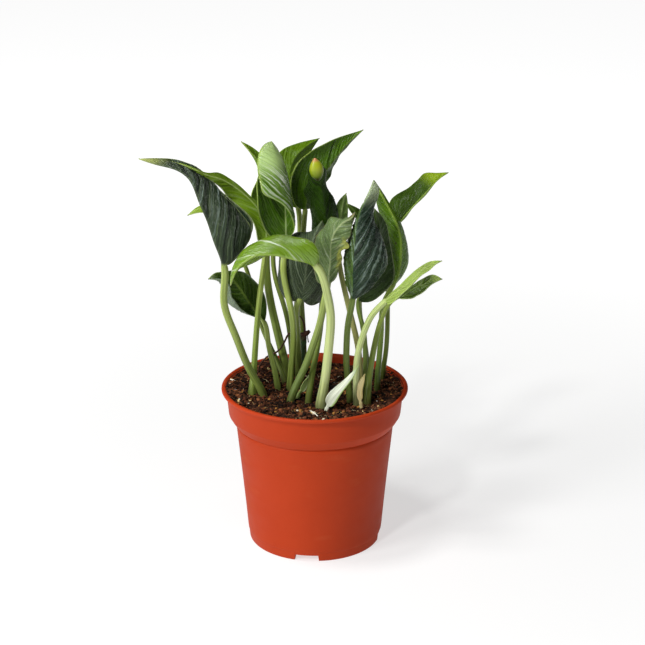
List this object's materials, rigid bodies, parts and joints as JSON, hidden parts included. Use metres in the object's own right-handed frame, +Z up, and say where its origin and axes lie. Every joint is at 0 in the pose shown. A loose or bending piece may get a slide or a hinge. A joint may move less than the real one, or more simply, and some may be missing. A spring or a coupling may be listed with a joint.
{
  "type": "potted pothos plant",
  "caption": "Young potted pothos: long-stalked heart-shaped leaves, several folded or rolled, in a round tapered plastic nursery pot filled with soil.",
  "frame": {"origin": "middle of the pot's underside, on the plane that the pot stands on", "axes": "+Z up along the pot's axis, -Y towards the side that the picture shows, +X to the right in the picture"},
  "size_m": [0.1933, 0.12, 0.2653],
  "materials": {
    "pot_plastic": "satin",
    "soil": "matte",
    "dead_stem": "matte",
    "dry_sheath": "matte",
    "leaf_deep_green": "satin",
    "leaf_dark_green": "satin",
    "leaf_mid_green": "satin",
    "leaf_light_green": "satin",
    "leaf_pale_green": "satin",
    "leaf_grey_green": "satin"
  },
  "bodies": {
    "root": {"pot": "pot_plastic", "soil": "soil", "old_stem": "dead_stem", "sheath_front": "dry_sheath", "sheath_right": "dry_sheath", "sheath_middle": "dry_sheath", "leaf_left_drooping": "leaf_grey_green", "leaf_left_long": "leaf_light_green", "leaf_left_small": "leaf_light_green", "leaf_left_cup": "leaf_dark_green", "leaf_back_left": "leaf_mid_green", "leaf_back_inner": "leaf_mid_green", "leaf_back_top": "leaf_dark_green", "leaf_back_right": "leaf_mid_green", "leaf_centre_hooded": "leaf_pale_green", "leaf_rolled_tip": "leaf_deep_green", "leaf_centre_ragged": "leaf_grey_green", "leaf_small_pale": "leaf_light_green", "leaf_small_dark": "leaf_deep_green", "leaf_centre_hanging": "leaf_grey_green", "leaf_right_glossy": "leaf_deep_green", "leaf_right_behind": "leaf_deep_green", "leaf_right_folded": "leaf_mid_green", "leaf_front_arch": "leaf_mid_green", "leaf_right_high": "leaf_dark_green", "leaf_right_rolled": "leaf_light_green", "leaf_right_curled": "leaf_dark_green"}
  },
  "joints": []
}
